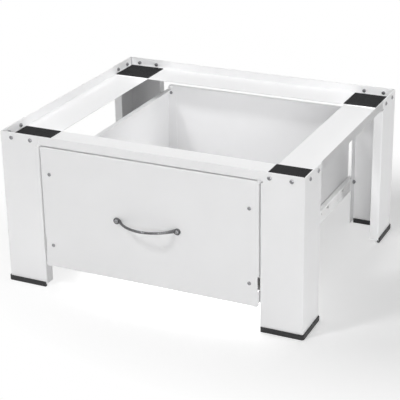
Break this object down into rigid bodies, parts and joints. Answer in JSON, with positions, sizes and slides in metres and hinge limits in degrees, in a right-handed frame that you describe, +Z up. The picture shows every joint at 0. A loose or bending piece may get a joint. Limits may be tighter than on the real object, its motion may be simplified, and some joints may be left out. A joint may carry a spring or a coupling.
{
  "type": "washer pedestal drawer",
  "caption": "White folded-steel pedestal that raises a washing machine, with a drawer on roller slides and a bow handle.",
  "frame": {"origin": "floor level, middle of the bounding box", "axes": "+X to the right, +Y to the back, +Z up; the drawer opens along -Y"},
  "size_m": [0.6356, 0.575, 0.32],
  "materials": {
    "white_steel": "white powder coat, satin, faint orange peel",
    "slide_steel": "white epoxy coat, satin, rubbed on the tracks",
    "pad_rubber": "black rubber, matt, fine grain",
    "foot_plastic": "black plastic, matt",
    "plated_steel": "zinc plated, satin",
    "handle_metal": "polished, slightly darkened",
    "roller_nylon": "white nylon, satin"
  },
  "bodies": {
    "frame": {"leg_front_left": "white_steel", "leg_front_right": "white_steel", "leg_rear_left": "white_steel", "leg_rear_right": "white_steel", "rail_front": "white_steel", "rail_rear": "white_steel", "rail_left": "white_steel", "rail_right": "white_steel", "pad_front_left": "pad_rubber", "pad_front_right": "pad_rubber", "pad_rear_left": "pad_rubber", "pad_rear_right": "pad_rubber", "foot_front_left": "foot_plastic", "foot_front_right": "foot_plastic", "foot_rear_left": "foot_plastic", "foot_rear_right": "foot_plastic", "deck_screws": "plated_steel", "deck_nuts": "plated_steel", "channel_left": "slide_steel", "channel_right": "slide_steel", "channel_screws": "plated_steel", "channel_nuts": "plated_steel", "channel_pins": "plated_steel"},
    "drawer": {"drawer_front": "white_steel", "drawer_side_left": "white_steel", "drawer_side_right": "white_steel", "drawer_back": "white_steel", "drawer_bottom": "white_steel", "runner_left": "slide_steel", "runner_right": "slide_steel", "runner_pins": "plated_steel", "bottom_rivets": "plated_steel", "front_screws": "plated_steel", "front_nuts": "plated_steel", "back_screws": "plated_steel", "back_nuts": "plated_steel", "handle": "handle_metal", "handle_screws": "plated_steel", "handle_nuts": "plated_steel"},
    "front_roller_left": {"front_roller_left": "roller_nylon"},
    "front_roller_right": {"front_roller_right": "roller_nylon"},
    "rear_roller_left": {"rear_roller_left": "roller_nylon"},
    "rear_roller_right": {"rear_roller_right": "roller_nylon"}
  },
  "joints": [
    {"name": "drawer_slide", "type": "slide", "parent": "frame", "child": "drawer", "axis": [0, -1, 0], "range_m": [0, 0.375]},
    {"name": "front_roller_left_spin", "type": "hinge", "parent": "frame", "child": "front_roller_left", "pos_m": [-0.2248, -0.2233, 0.0945], "axis": [1, 0, 0], "continuous": true},
    {"name": "front_roller_right_spin", "type": "hinge", "parent": "frame", "child": "front_roller_right", "pos_m": [0.2248, -0.2233, 0.0945], "axis": [1, 0, 0], "continuous": true},
    {"name": "rear_roller_left_spin", "type": "hinge", "parent": "drawer", "child": "rear_roller_left", "pos_m": [-0.2234, 0.2527, 0.0945], "axis": [1, 0, 0], "continuous": true},
    {"name": "rear_roller_right_spin", "type": "hinge", "parent": "drawer", "child": "rear_roller_right", "pos_m": [0.2234, 0.2527, 0.0945], "axis": [1, 0, 0], "continuous": true}
  ],
  "couplings": [
    {"joint": "front_roller_left_spin", "follows": "drawer_slide", "rad_per_m": 90.909},
    {"joint": "front_roller_right_spin", "follows": "drawer_slide", "rad_per_m": 90.909},
    {"joint": "rear_roller_left_spin", "follows": "drawer_slide", "rad_per_m": 90.909},
    {"joint": "rear_roller_right_spin", "follows": "drawer_slide", "rad_per_m": 90.909}
  ]
}
